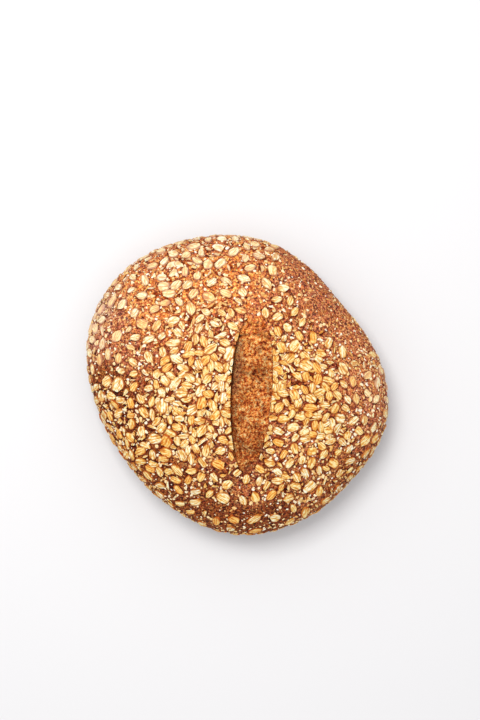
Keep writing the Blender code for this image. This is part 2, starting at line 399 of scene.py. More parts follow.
def clear_of_score(place, reach):
    """True where a flake of that reach stays off the score's floor."""
    share, across = score_place(place.x, place.y)
    inside = min(1 - SCORE_END_TRIM, max(SCORE_END_TRIM, share))
    past_end = abs(share - inside) * SCORE_LINE.length
    beyond = max(0.0, abs(across) - score_half_width(inside))
    return math.hypot(beyond, past_end) > reach


def discs_of(oat):
    """The middles of three discs that together cover an oat."""
    oat_frame, length, width = oat
    return np.array([oat_frame @ Vector(((length - width) / 2 * end, 0, 0)) for end in (-1, 0, 1)])


def anywhere(draw):
    """The two angles of a place drawn from the whole crust."""
    return draw.uniform(-math.pi, math.pi), math.asin(draw.uniform(OAT_LOWEST_CLIMB, 1.0))


def drawn_oat(draw, rule, drawn_from):
    """The frame, length and width of a drawn oat, or None where none can lie."""
    azimuth, climb = drawn_from(draw)
    turn = draw.uniform(0, math.tau)
    shortest, longest = rule["limits"]
    length = min(longest, max(shortest, draw.gauss(*rule["length"])))
    width = length * draw.uniform(*rule["width_share"])
    luck = draw.random()
    oat_frame, stretch = on_crust(azimuth, climb, turn)
    place = oat_frame.translation
    if luck > stretch / MEAN_RADIUS**2 or place.z < OAT_LOWEST:
        return None
    if climb > 0 and not clear_of_score(place, width / 2 - rule["past_lip"]):
        return None
    return oat_frame, length, width


def lay_tilted(oat_frame, nearest, overlap):
    """An oat's frame, raised and tilted where it lies on its neighbour."""
    normal = oat_frame.col[2].xyz
    towards = (Vector(nearest) - oat_frame.translation).normalized()
    axis = towards.cross(normal)
    if overlap <= 0 or axis.length < 0.1:
        return oat_frame
    share = min(1.0, overlap / TILT_FULL_AT)
    tilt = Matrix.Rotation(TILT_MOST * share, 4, axis.normalized())
    place = Matrix.Translation(oat_frame.translation)
    lift = Matrix.Translation(normal * TILT_LIFT * share)
    return lift @ place @ tilt @ place.inverted() @ oat_frame


def lay_oats(oats, rule, gap_at, drawn_from=anywhere):
    """New oats among those that lie there, as near to them as gap_at allows."""
    draw = random.Random(rule["seed"])
    taken = np.array([disc for oat in oats for disc in discs_of(oat)]).reshape(-1, 3)
    widths = np.repeat([oat[2] for oat in oats], 3)
    added = []
    for _ in range(rule["tries"]):
        oat = drawn_oat(draw, rule, drawn_from)
        if oat is None:
            continue
        oat_frame, length, width = oat
        ends = discs_of(oat)
        reach = np.linalg.norm(taken[:, None] - ends[None], axis=2).min(axis=1)
        gaps = reach - (widths + width) / 2
        if len(gaps):
            nearest = int(gaps.argmin())
            if gaps[nearest] < gap_at(rule, oat_frame.translation):
                continue
            oat_frame = lay_tilted(oat_frame, taken[nearest], -gaps[nearest])
        added.append((oat_frame, length, width))
        taken = np.vstack((taken, ends))
        widths = np.append(widths, [width] * 3)
    return added


def first_gap(rule, place):
    """The gap that one of the first oats keeps."""
    return rule["gap"] + BARE_GAP * bareness(place)


FIRST_OATS = lay_oats([], FIRST, first_gap)
print("oats that the solid has:", len(FIRST_OATS))

# %% [markdown]
# ## More oats, between and over the first
#
# On the real loaf the oats in the two thick fields touch and overlap like fish scales, and elsewhere they
# keep apart. The second rule therefore lets a new oat come as near to its neighbours as the cover is thick
# at that place. One that overlaps a neighbour is lifted on that side and so lies tilted on it. The same
# rule then fills what is left with broken oats, which are smaller and may lie closer still.

# %% The second rule
LIP_BESIDE = (0.0002, 0.0034)
LIP_SHARES = {-1: (0.30, 0.95), 1: (0.22, 0.92)}  # where oats line the left lip and the right one
THICK_FIELDS = (  # x, y, half length, half width, turn in degrees, how thick
    (-0.036, -0.012, 0.062, 0.036, 73.0, 1.00),
    (-0.078, -0.036, 0.045, 0.020, -55.0, 0.70),
    (0.052, -0.006, 0.052, 0.028, -62.0, 1.00),
    (0.044, -0.066, 0.036, 0.022, 30.0, 0.60),
    (-0.055, 0.080, 0.040, 0.018, 35.0, 0.45),
    (-0.030, 0.048, 0.030, 0.014, 15.0, 0.60),
)
FIELD_EDGE = (0.55, 1.30)
THIN_COVER = 0.30

AT_LIPS = {
    "seed": 53, "tries": 1500, "length": (0.0078, 0.0014), "limits": (0.0056, 0.0110),
    "width_share": (0.50, 0.80), "overlap": 0.0024, "sparse_gap": 0.0, "past_lip": 0.0034,
}
WHOLE = {
    "seed": 23, "tries": 16000, "length": (0.0102, 0.0019), "limits": (0.0068, 0.0134),
    "width_share": (0.50, 0.84), "overlap": 0.0026, "sparse_gap": 0.0034, "past_lip": 0.0022,
}
BROKEN = {
    "seed": 37, "tries": 32000, "length": (0.0056, 0.0016), "limits": (0.0032, 0.0090),
    "width_share": (0.40, 0.80), "overlap": 0.0012, "sparse_gap": 0.0026, "past_lip": 0.0022,
}


def cover(place):
    """1 in the thick fields of oats and 0 where the crust is bare."""
    thick = max(
        field[5] * (1 - smooth_step(*FIELD_EDGE, patch_distance(place, field)))
        for field in THICK_FIELDS
    )
    return (THIN_COVER + (1 - THIN_COVER) * thick) * (1 - bareness(place))


def beside_lip(draw):
    """The two angles of a place drawn along the score's lips."""
    side = draw.choice((-1, 1))
    share = draw.uniform(*LIP_SHARES[side])
    across = side * (score_half_width(share) + draw.uniform(*LIP_BESIDE))
    return crust_angles(*score_spot(share, across))


def near_gap(rule, place):
    """The gap that a new oat keeps, which is less than 0 where it may overlap its neighbour."""
    gap = rule["sparse_gap"] - (rule["sparse_gap"] + rule["overlap"]) * cover(place)
    return gap + BARE_GAP * bareness(place) ** 2


LIP_OATS = lay_oats(FIRST_OATS, AT_LIPS, near_gap, beside_lip)
WHOLE_OATS = FIRST_OATS + LIP_OATS
WHOLE_OATS += lay_oats(WHOLE_OATS, WHOLE, near_gap)
BROKEN_OATS = lay_oats(WHOLE_OATS, BROKEN, near_gap)
print("oats at the lips:", len(LIP_OATS), "whole:", len(WHOLE_OATS), "broken:", len(BROKEN_OATS))

# %% [markdown]
# ## The crust as a mesh
#
# The crust starts as a fine icosphere whose points are carried onto the formula. The score is then cut out
# of it with a Boolean, and a voxel remesh gives the whole skin one even net of small faces, about one a
# pixel, which the relief of the bake can be worked into. A remesh also rounds off the lips a little, as the
# oven does.

# %% Cut the score and even out the mesh
SPHERE_SPLITS = 7
CUTTER_STEPS_ALONG = 110
CUTTER_STEPS_ACROSS = 22
CUTTER_ABOVE = 0.012
CUTTER_TRIM = 0.002
LIP_RAGGED = 0.0007
LIP_RAGS_ACROSS = 170.0  # one a 6 mm
VOXEL = 0.00122


def mesh_from(bm, name):
    mesh = bpy.data.meshes.new(name)
    bmesh.ops.recalc_face_normals(bm, faces=bm.faces)
    bm.to_mesh(mesh)
    bm.free()
    return mesh


def new_object(name, mesh):
    made = bpy.data.objects.new(name, mesh)
    bpy.context.scene.collection.objects.link(made)
    return made


def triangles(mesh):
    return sum(len(face.vertices) - 2 for face in mesh.polygons)


def applied(target):
    """The mesh that target's modifiers make."""
    bpy.context.view_layer.update()
    graph = bpy.context.evaluated_depsgraph_get()
    return bpy.data.meshes.new_from_object(target.evaluated_get(graph))


def unscored_loaf():
    bm = bmesh.new()
    bmesh.ops.create_icosphere(bm, subdivisions=SPHERE_SPLITS, radius=1)
    for vert in bm.verts:
        azimuth = math.atan2(vert.co.y, vert.co.x)
        climb = math.asin(max(-1.0, min(1.0, vert.co.z)))
        vert.co = crust_point(azimuth, climb)
    return mesh_from(bm, "crust")


def score_space():
    """The space that the score opens, drawn up through the crust, with ragged lips."""
    bm = bmesh.new()
    side_of = bm.verts.layers.float.new("side")
    share_of = bm.verts.layers.float.new("share")
    bmesh.ops.create_grid(bm, x_segments=CUTTER_STEPS_ACROSS, y_segments=CUTTER_STEPS_ALONG, size=1)

    def lip_of(share, side):
        spot = score_spot(share, side * score_half_width(share))
        ragged = noise.noise(Vector((spot.x, spot.y, side)) * LIP_RAGS_ACROSS) * LIP_RAGGED
        return spot + SCORE_RIGHT * ragged * abs(side) ** 3

    for vert in bm.verts:
        side = vert.co.x
        share = CUTTER_TRIM + (1 - 2 * CUTTER_TRIM) * (1 - vert.co.y) / 2
        vert[side_of] = side
        vert[share_of] = share
        lip = lip_of(share, side)
        undercut = smooth_step(*UNDERCUT_AT_START, share) * smooth_step(*UNDERCUT_AT_END, share)
        floor = lip - SCORE_RIGHT * SCORE_UNDERCUT * undercut * max(0.0, -side)
        height = crown_height(lip.x, lip.y) - score_floor_depth(share, side)
        vert.co = Vector((floor.x, floor.y, height))
    drawn = bmesh.ops.extrude_face_region(bm, geom=bm.faces[:])["geom"]
    for vert in (part for part in drawn if isinstance(part, bmesh.types.BMVert)):
        lip = lip_of(vert[share_of], vert[side_of])
        vert.co = Vector((lip.x, lip.y, LOAF_HEIGHT + CUTTER_ABOVE))
    return mesh_from(bm, "score_space")


def scored_loaf():
    """The crust's mesh with the score cut out, in even faces."""
    loaf = new_object("crust_before", unscored_loaf())
    space = new_object("score_space", score_space())
    cut = loaf.modifiers.new("score", "BOOLEAN")
    cut.operation = "DIFFERENCE"
    cut.solver = "MANIFOLD"
    cut.object = space
    even = loaf.modifiers.new("even", "REMESH")
    even.mode = "VOXEL"
    even.voxel_size = VOXEL
    mesh = applied(loaf)
    bpy.data.objects.remove(loaf)
    bpy.data.objects.remove(space)
    return mesh


crust_mesh = scored_loaf()
print("faces of the evened crust:", len(crust_mesh.polygons))

# %% [markdown]
# ## The relief of the bake
#
# Bread crust isn't smooth. The wholemeal dough's bran makes a fine grit, gas under the skin raised blisters
# a few millimetres across, and the floor of the score is torn crumb that browned: a coarse, curdled surface
# with short tears across it. Each of these is a noise of its own size, worked into the mesh by moving its
# points along their normals. The score's floor is told from the crust by how far it lies under the unscored
# dome.

# %% Move the points
GRIT_HEIGHT = 0.00034
GRIT_ACROSS = 620.0
BLISTER_HEIGHT = 0.0007
BLISTERS_ACROSS = 210.0
BLISTER_FROM = 0.16
TEAR_HEIGHT = 0.0011
TEARS_ACROSS = Vector((190.0, 330.0, 260.0))
CURD_HEIGHT = 0.0010
CURDS_ACROSS = 620.0
CRACK_DEPTH = 0.0020  # the arc where the skin let go of the score's floor
CRACK_AT = 0.115
CRACK_ARCH = 0.025
CRACK_HALF_LENGTH = 0.008
SCORE_MARGIN = 0.0035
FLOOR_FROM = 0.0003
FLOOR_FULL = 0.0011
OAT_SHADE_REACH = 0.0011
BASE_FLAT = 0.0006


def score_measures(place):
    """The share along the score and the side, -1 at its left lip and 1 at its right one."""
    share, across = score_place(place.x, place.y)
    return share, across / max(0.001, score_half_width(share))


def score_mask(place):
    """1 on the floor and the walls of the score, and 0 on the crust."""
    share, across = score_place(place.x, place.y)
    if not 0 < share < 1 or abs(across) > score_half_width(share) + SCORE_MARGIN:
        return 0.0
    return smooth_step(FLOOR_FROM, FLOOR_FULL, crown_height(place.x, place.y) - place.z)


def crack(place):
    """1 in the arc where the skin let go of the score's floor, and 0 away from it."""
    share, side = score_measures(place)
    off = (share - CRACK_AT - CRACK_ARCH * side * side) / CRACK_HALF_LENGTH
    return math.exp(-off * off)


def relief(place, inside):
    """How far the bake raises a point of the skin."""
    blister = BLISTER_HEIGHT * max(0.0, noise.noise(place * BLISTERS_ACROSS) - BLISTER_FROM)
    crust = GRIT_HEIGHT * noise.noise(place * GRIT_ACROSS) + blister
    torn = Vector((place.x * TEARS_ACROSS.x, place.y * TEARS_ACROSS.y, place.z * TEARS_ACROSS.z))
    floor = TEAR_HEIGHT * noise.noise(torn) + CURD_HEIGHT * noise.noise(place * CURDS_ACROSS)
    if inside > 0:
        floor -= CRACK_DEPTH * crack(place)
    return crust * (1 - inside) + floor * inside


def oat_discs(oats):
    """A tree of all the oats' discs, and the width of each disc's oat."""
    tree = kdtree.KDTree(3 * len(oats))
    widths = []
    for oat in oats:
        for place in discs_of(oat):
            tree.insert(Vector(place), len(widths))
            widths.append(oat[2])
    tree.balance()
    return tree, widths


OAT_TREE, OAT_DISC_WIDTHS = oat_discs(WHOLE_OATS + BROKEN_OATS)


def distance_to_oats(place):
    """From a point to the nearest edge of an oat, less than 0 under one."""
    return min(far - OAT_DISC_WIDTHS[number] / 2 for _, number, far in OAT_TREE.find_n(place, 3))


def in_box(place):
    """The same place, or the nearest one in the loaf's own box."""
    return Vector([min(high, max(low, part)) for low, part, high in zip(LOW, place, HIGH)])


def bake_crust(mesh):
    """Moves the crust's points and notes on each the score, and the painted shade of nearby oats."""
    bm = bmesh.new()
    bm.from_mesh(mesh)
    flat = [face for face in bm.faces if max(vert.co.z for vert in face.verts) < BASE_FLAT]
    bmesh.ops.dissolve_faces(bm, faces=flat, use_verts=True)
    torn = {edge for vert in bm.verts if score_mask(vert.co) > 0 for edge in vert.link_edges}
    bmesh.ops.subdivide_edges(bm, edges=list(torn), cuts=1, use_grid_fill=True)
    score_of = bm.verts.layers.float.new("score")
    oat_shade_of = bm.verts.layers.float.new("painted_shade_beside_oat")
    bm.normal_update()
    moves = []
    for vert in bm.verts:
        inside = score_mask(vert.co)
        vert[score_of] = inside
        if inside < 1:
            # painted shade: a thin dark band on the crust round each oat, for the oat's contact shadow
            vert[oat_shade_of] = 1 - smooth_step(0.0, OAT_SHADE_REACH, distance_to_oats(vert.co))
        moves.append(vert.normal * relief(vert.co, inside) if vert.co.z > BASE_FLAT else Vector())
    for vert, move in zip(bm.verts, moves):
        vert.co += move
        if vert.co.z < BASE_FLAT:
            vert.co.z = 0.0
        vert.co = in_box(vert.co)
    bm.to_mesh(mesh)
    bm.free()
    mesh.shade_smooth()


bake_crust(crust_mesh)
crust = new_object("baked_crust", crust_mesh)
print("triangles of the crust:", triangles(crust_mesh))

# %% [markdown]
# ## The finish of the crust
#
# A wholemeal crust is sugar and starch browned dry, without oil, so it is matte. Its brown isn't one
# colour: bran shows as dark and pale grains, it is drawn darker towards the bottom edge, partly for a
# deeper bake and partly as painted shade, and lighter in spots, most on the upper left, partly as painted
# light from the window, a thin painted shadow lies round each oat, it stays golden where the heat was
# less, and flour from the proving basket dusts one edge. The floor of the score tore open late, so it is
# a warmer, curdled brown, greyish under the left lip, with painted shade in the corner under that lip
# and in the arc where the skin let go.
#
# Every pattern reads the object's own coordinates, so its grain is a real size: a noise scale of
# 1 / 0.0013 repeats about every 1.3 mm. What changes over centimetres, such as the depth of the bake and
# its painted light and shade, is noted on the points of the mesh, and the material reads it there. A
# fine grey mottle goes over it all and stands for grit that is smaller than a face of the mesh, partly
# as its grain and partly as painted light and shade of that grit.

# %% Baked wholemeal crust
GRAIN = 1 / 0.0013  # ground bran is nearer 1 mm, which is drawn a little coarser here so that it shows
BRAN_GRAIN = 1 / 0.0019
SPECKLE_GRAIN = 1 / 0.0014
CURD_GRAIN = 1 / 0.0024
BLOT_GRAIN = 1 / 0.0075
PATCH_GRAIN = 1 / 0.022
# spots drawn darker: partly a deeper bake, partly painted shade towards the lower edge, away from the window
DEEP_BAKE_AND_PAINTED_SHADE = (  # x, y, reach, strength
    (0.010, -0.116, 0.042, 1.0),
    (-0.060, -0.050, 0.050, 0.27),
    (-0.100, -0.010, 0.022, 0.45),
    (0.095, -0.075, 0.036, 0.35),
    (-0.070, -0.090, 0.036, 0.37),
    (-0.104, 0.002, 0.014, 0.50),
    (-0.098, -0.040, 0.034, 0.50),
    (0.0157, 0.0104, 0.008, 0.65),
    (0.0130, -0.0480, 0.009, 0.33),
    (0.0060, -0.0640, 0.006, 0.25),
)
# spots drawn lighter: partly a lighter bake, partly painted light on the upper left, towards the window
LIGHT_BAKE_AND_PAINTED_LIGHT = (
    (-0.055, 0.070, 0.042, 0.52),
    (0.010, -0.086, 0.015, 0.55),
    (0.000, 0.085, 0.034, 0.40),
    (0.100, 0.010, 0.040, 0.20),
    (0.016, 0.044, 0.014, 0.26),
)
EVEN_BAKE = 0.47
SCORE_SPARED = 0.5  # the share of the even bake that the score missed by opening late
FOOT_TOP = 0.040
FOOT_BAKE = 0.35
FOOT_FLOUR = 0.5
# painted shade: the arc where the skin let go of the score's floor is darkened as a shaded crease
CRACK_PAINTED_SHADE = 0.8
FLOURED = (
    (0.112, 0.000, 0.030, 0.15),
    (-0.110, 0.062, 0.018, 1.0),
    (-0.119, 0.030, 0.012, 0.35),
)
PALE_ALONG = (0.10, 0.20, 0.56, 0.46)  # where the left lip shaded the floor from the heat
PALE_ACROSS = (-0.40, -0.72)
# painted shade: the score's floor darkens in the corner under the overhanging left lip
LIP_CORNER_SHADE_ACROSS = (-0.84, -1.02)


def soft_spots(place, spots):
    """How strongly the spots reach a place seen from above, from 0 to 1."""
    return min(1.0, sum(
        strength * math.exp(-(((place.x - x) / reach) ** 2) - ((place.y - y) / reach) ** 2)
        for x, y, reach, strength in spots
    ))


def note_zones(mesh):
    """Notes on each point the bake and its painted shade, how thick the flour, and how pale the score."""
    for name in ("bake_and_painted_shade", "flour", "pale"):
        mesh.attributes.new(name, "FLOAT", "POINT")
    score, bake_and_painted_shade, flour, pale = [mesh.attributes[name].data for name in ("score", "bake_and_painted_shade", "flour", "pale")]
    for number, vert in enumerate(mesh.vertices):
        place = vert.co
        low = 1 - smooth_step(0.0, FOOT_TOP, place.z)
        even = EVEN_BAKE * (1 - SCORE_SPARED * score[number].value)
        deep_bake_and_shade = even + soft_spots(place, DEEP_BAKE_AND_PAINTED_SHADE) - soft_spots(place, LIGHT_BAKE_AND_PAINTED_LIGHT) + FOOT_BAKE * low
        flour[number].value = min(1.0, soft_spots(place, FLOURED) + FOOT_FLOUR * low * low)
        if score[number].value > 0:
            share, side = score_measures(place)
            along = smooth_step(*PALE_ALONG[:2], share) * smooth_step(*PALE_ALONG[2:], share)
            pale[number].value = score[number].value * along * smooth_step(*PALE_ACROSS, side)
            # painted shade in the corner under the left lip and in the arc of the crack
            deep_bake_and_shade += score[number].value * (smooth_step(*LIP_CORNER_SHADE_ACROSS, side) + CRACK_PAINTED_SHADE * crack(place))
        bake_and_painted_shade[number].value = min(1.0, max(0.0, deep_bake_and_shade))


note_zones(crust_mesh)


def baked_wholemeal_crust():
    """Crust baked dry: matte, with hardly a highlight, so its grain shows by colour and by tiny shadows."""
    material, tree, output = new_material("baked_wholemeal_crust")
    place = add_node(tree, "TexCoord").outputs["Object"]
    score, painted_oat_shade, bake_and_painted_shade, flour, pale = [
        add_node(tree, "Attribute", attribute_name=name).outputs["Fac"]
        for name in ("score", "painted_shade_beside_oat", "bake_and_painted_shade", "flour", "pale")
    ]
    speckle, patches, blots, curds = [
        add_node(
            tree, "TexNoise", {"Vector": place, "Scale": scale, "Detail": detail, "Roughness": rough}
        ).outputs["Fac"]
        for scale, detail, rough in (
            (SPECKLE_GRAIN, 3.0, 0.7),
            (PATCH_GRAIN, 4.0, 0.6),
            (BLOT_GRAIN, 3.0, 0.6),
            (CURD_GRAIN, 4.0, 0.7),
        )
    ]
    grain_cells, bran_cells = [
        add_node(tree, "TexVoronoi", {"Vector": place, "Scale": scale, "Randomness": 1.0})
        for scale in (GRAIN, BRAN_GRAIN)
    ]
    grain = add_node(tree, "SeparateColor", {"Color": grain_cells.outputs["Color"]}).outputs["Red"]
    bran = add_node(tree, "SeparateColor", {"Color": bran_cells.outputs["Color"]}).outputs["Green"]

    grains, golden, bran_tints, torn, blotches, mottle = [
        add_node(tree, "ValToRGB", {"Fac": pattern}, stops=stops).outputs["Color"]
        for pattern, stops in (
            (grain, [
                (0.00, "#7d4342"), (0.15, "#aa5e4d"), (0.45, "#d08262"),
                (0.70, "#e69d6e"), (0.88, "#f8ba80"), (1.00, "#ffd7ae"),
            ]),
            (patches, [(0.38, "#c79a86"), (0.64, "#f6b870")]),
            (bran, [
                (0.00, "#9e90ad"), (0.08, "#bfadc8"), (0.13, "#f9f1fd"),
                (0.38, "#ffffff"), (0.68, "#fff7e1"), (1.00, "#ffecbc"),
            ]),
            (curds, [
                (0.38, "#853218"), (0.44, "#c45e2a"), (0.48, "#f08941"),
                (0.52, "#fca351"), (0.56, "#fec16d"), (0.62, "#fedaa1"),
            ]),
            (blots, [(0.38, "#bcaaa6"), (0.50, "#f1efec"), (0.62, "#ffffff")]),
            (speckle, [(0.37, "#555555"), (0.50, "#bcbcbc"), (0.63, "#f7f7f7")]),
        )
    ]
    dusted = add_node(tree, "Math", {0: flour, 1: grain}, operation="MULTIPLY").outputs[0]
    greyed = add_node(tree, "Math", {0: pale, 1: curds}, operation="MULTIPLY").outputs[0]
    branny, gilt, grit_shade_share = [
        add_node(tree, "MapRange", {"Value": score, "To Min": outside, "To Max": inside}).outputs[0]
        for outside, inside in ((0.9, 0.4), (0.8, 0.15), (0.95, 0.55))
    ]
    gilded = add_node(
        tree, "MapRange", {"Value": bake_and_painted_shade, "From Max": EVEN_BAKE, "To Min": gilt, "To Max": 0.0}
    ).outputs[0]

    for share, layer, blend in (
        (0.95, blotches, "MULTIPLY"),
        (greyed, linear("#906447"), "MIX"),
    ):
        torn = add_node(
            tree, "Mix", {0: share, 6: torn, 7: layer}, data_type="RGBA", blend_type=blend
        ).outputs[2]
    colour = grains
    for share, layer, blend in (
        (0.35, golden, "SOFT_LIGHT"),
        (dusted, linear("#dcc7b8"), "MIX"),
        # painted shade: the crust darkened round each oat for the oat's shadow
        (painted_oat_shade, linear("#aa734f"), "MULTIPLY"),
        (score, torn, "MIX"),
        (branny, bran_tints, "MULTIPLY"),
        # the bake darkens the crust, with painted shade and painted light mixed into it
        (bake_and_painted_shade, linear("#9b8065"), "MULTIPLY"),
        (gilded, linear("#fffcc5"), "MULTIPLY"),
        # partly grain, partly painted light and shade of grit too fine for the mesh, as a grey mottle over
        # the colour
        (grit_shade_share, mottle, "OVERLAY"),
    ):
        colour = add_node(
            tree, "Mix", {0: share, 6: colour, 7: layer}, data_type="RGBA", blend_type=blend
        ).outputs[2]
    bump = add_node(tree, "Bump", {"Height": speckle, "Strength": 1.0, "Distance": 0.0011}).outputs["Normal"]
    domes = grain_cells.outputs["Distance"]
    bump = add_node(
        tree, "Bump", {"Height": domes, "Distance": 0.0010, "Normal": bump}, invert=True
    ).outputs["Normal"]
    shader = add_node(tree, "BsdfPrincipled", {
        "Base Color": colour, "Roughness": 0.8, "IOR": 1.45, "Specular IOR Level": 0.12, "Normal": bump,
    })
    tree.links.new(shader.outputs[0], output.inputs["Surface"])
    return material


crust_mesh.materials.clear()  # the Boolean left an empty slot
crust_mesh.materials.append(baked_wholemeal_crust())
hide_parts("loaf")
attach(crust, "root")

# %% [markdown]
# ## One rolled oat
#
# A rolled oat is a groat that was steamed and pressed flat: a flake 7 to 13 mm long and about 1 mm thick,
# oval or nearly as blunt as a coin, with a crease along its middle, low ridges beside it and an uneven,
# often nibbled edge. A grid becomes one by pulling its square into an oval, and extruding it once gives the
# flake its thickness. A broken oat is the same flake snapped by one or two bisecting planes. A dozen of
# each are enough, because each is turned, sized and toned on its own when it is laid. Each point remembers
# its place on the flake for the streaks of the finish.

# %% A dozen flakes, whole and broken
FLAKE_KINDS = 12
WHOLE_STEPS = (9, 6)
BROKEN_STEPS = (6, 5)
FLAKE_TOP = 0.0011
FLAKE_ROOT = 0.00060
FLAKE_TAPER = 0.91
EDGE_WAVER = 0.20
WAVERS_AROUND = 1.4
EDGE_NIBBLE = 0.12
NIBBLES_AROUND = 4.3
EDGES_APART = 3.7  # how far apart in the noise the kinds of flake are
BUMPS_APART = 5.1
FLAKE_BUMPS = 0.25
FLAKE_DOME = 0.45
FLAKE_POINTEDNESS = (-0.12, 0.14)
FLAKE_ROUNDNESS = (0.34, 0.52)  # 0.5 makes a true oval and less makes squarer ends
CREASE_DEPTH = (0.15, 0.75)
CREASE_HALF_WIDTH = 0.13
CREASE_OFF_MIDDLE = 0.2
CREASE_FADE = 0.7
RIDGE_HEIGHT = 0.16
RIDGE_PITCH = (5.0, 9.0)  # radians of a wave over half the flake's width
FLAKE_CURL = (-0.20, 0.45)
CHIP_AT = (0.64, 0.92)
BREAK_AT = (-0.25, 0.35)
BREAK_SWELL = 0.14  # a broken flake is drawn larger, so that what is left of it has the length asked for


def close_cut(bm, place, outward):
    """Cuts away what lies past a plane and closes the cut."""
    everything = bm.verts[:] + bm.edges[:] + bm.faces[:]
    bmesh.ops.bisect_plane(bm, geom=everything, plane_co=place, plane_no=outward, clear_outer=True)
    bmesh.ops.holes_fill(bm, edges=[edge for edge in bm.edges if edge.is_boundary])


def flake_mesh(number, steps, breaks):
    """A flake 1 long and 1 wide, on z = 0, with its thickness in real size."""
    draw = random.Random(1000 * breaks + number)
    pointed = draw.uniform(*FLAKE_POINTEDNESS)
    roundness = draw.uniform(*FLAKE_ROUNDNESS)
    crease = draw.uniform(*CREASE_DEPTH)
    crease_at = draw.uniform(-CREASE_OFF_MIDDLE, CREASE_OFF_MIDDLE)
    curl = draw.uniform(*FLAKE_CURL)
    ridges = draw.uniform(*RIDGE_PITCH)
    bm = bmesh.new()
    flake_of = bm.verts.layers.float_vector.new("flake")
    bmesh.ops.create_grid(bm, x_segments=steps[0], y_segments=steps[1], size=1)
    for vert in bm.verts:
        u, v = vert.co.x, vert.co.y
        x = u * math.sqrt(1 - roundness * v * v)
        y = v * math.sqrt(1 - roundness * u * u)
        angle = math.atan2(y, x)
        edge = Vector((math.cos(angle), math.sin(angle), number * EDGES_APART))
        waver = 1 + EDGE_WAVER * noise.noise(edge * WAVERS_AROUND)
        waver += EDGE_NIBBLE * noise.noise(edge * NIBBLES_AROUND)
        reach = math.sqrt(u * u + v * v - u * u * v * v)
        y *= 1 - pointed * x * x
        vert[flake_of] = Vector((x, y, reach))
        vert.co = Vector((x * waver, y * waver, -FLAKE_ROOT))
    drawn = bmesh.ops.extrude_face_region(bm, geom=bm.faces[:])["geom"]
    for vert in (part for part in drawn if isinstance(part, bmesh.types.BMVert)):
        x, y, reach = vert[flake_of]
        dome = 1 - FLAKE_DOME * reach**6
        groove = crease * math.exp(-(((y - crease_at) / CREASE_HALF_WIDTH) ** 2)) * (1 - CREASE_FADE * x * x)
        ridge = RIDGE_HEIGHT * math.cos(ridges * (y - crease_at))
        bumps = FLAKE_BUMPS * noise.noise(Vector((x * 2, y * 4, number * BUMPS_APART)))
        vert.co.z = FLAKE_TOP * (dome - groove + ridge + curl * x * x + bumps)
        vert.co.xy *= FLAKE_TAPER
    for cut in range(breaks + 1 + number % 3):
        turn = draw.uniform(0, math.tau)
        outward = Vector((math.cos(turn), math.sin(turn), 0))
        close_cut(bm, outward * draw.uniform(*(BREAK_AT if cut < breaks else CHIP_AT)), outward)
    half = 0.5 + BREAK_SWELL * breaks
    bmesh.ops.scale(bm, verts=bm.verts, vec=(half, half, 1))
    return mesh_from(bm, "flake")


WHOLE_FLAKES = [flake_mesh(number, WHOLE_STEPS, 0) for number in range(FLAKE_KINDS)]
BROKEN_FLAKES = [flake_mesh(number, BROKEN_STEPS, 1 + number % 2) for number in range(FLAKE_KINDS)]
print("triangles of one flake:", triangles(WHOLE_FLAKES[0]))

# %% [markdown]
# ## Laying the oats
#
# All the whole oats become one mesh, and the broken ones another. Each flake is copied in, sized, and moved
# to its place on the crust. An oat that lay across the score was cut by the baker's blade with the dough,
# so a flake that reaches over the lip is cut there too. Each flake also draws its tone, a little further
# toasted in some spots of the loaf, and takes the flour that the basket left round the loaf's edges.

# %% Two meshes of oats
LAY_SEED = 5
RIM_ALLOWANCE = 1.1  # makes up for the tapered rim and the chipped edges
ASKEW = math.radians(8)
FLAKE_THICKNESS = (0.8, 1.1)
LIP_KEEP = 0.0002
LIP_NEAR = 0.008
LIP_PAST_ENDS = 0.02
LIP_TRIM = 0.002
LIP_STEP = 0.01
OAT_SHARP = math.radians(33)
OATS_FLOURED = (  # x, y, reach, strength
    (0.114, 0.000, 0.026, 0.26),
    (0.000, 0.105, 0.040, 0.24),
    (-0.070, 0.090, 0.045, 0.24),
    (-0.110, 0.045, 0.028, 0.32),
)
OATS_TOASTED = (
    (0.050, 0.005, 0.030, 0.30),
    (-0.085, -0.055, 0.035, 0.25),
    (0.000, -0.100, 0.030, 0.20),
)


def cut_at_lip(bm, middle):
    """Cuts a laid flake along the score's lip, if it reaches over it."""
    share, across = score_place(middle.x, middle.y)
    if not -LIP_PAST_ENDS < share < 1 + LIP_PAST_ENDS or abs(across) > SCORE_HALF_WIDTH + LIP_NEAR:
        return
    side = 1 if across > 0 else -1
    ends = [min(1 - LIP_TRIM, max(LIP_TRIM, share + step)) for step in (-LIP_STEP, LIP_STEP)]
    behind, ahead = [score_spot(end, side * (score_half_width(end) + LIP_KEEP)) for end in ends]
    along = ahead - behind
    inward = Vector((-along.y, along.x, 0)).normalized() * side
    if inward.xy.dot(SCORE_RIGHT) * side > 0:
        inward = -inward
    close_cut(bm, ((ahead + behind) / 2).to_3d(), inward)


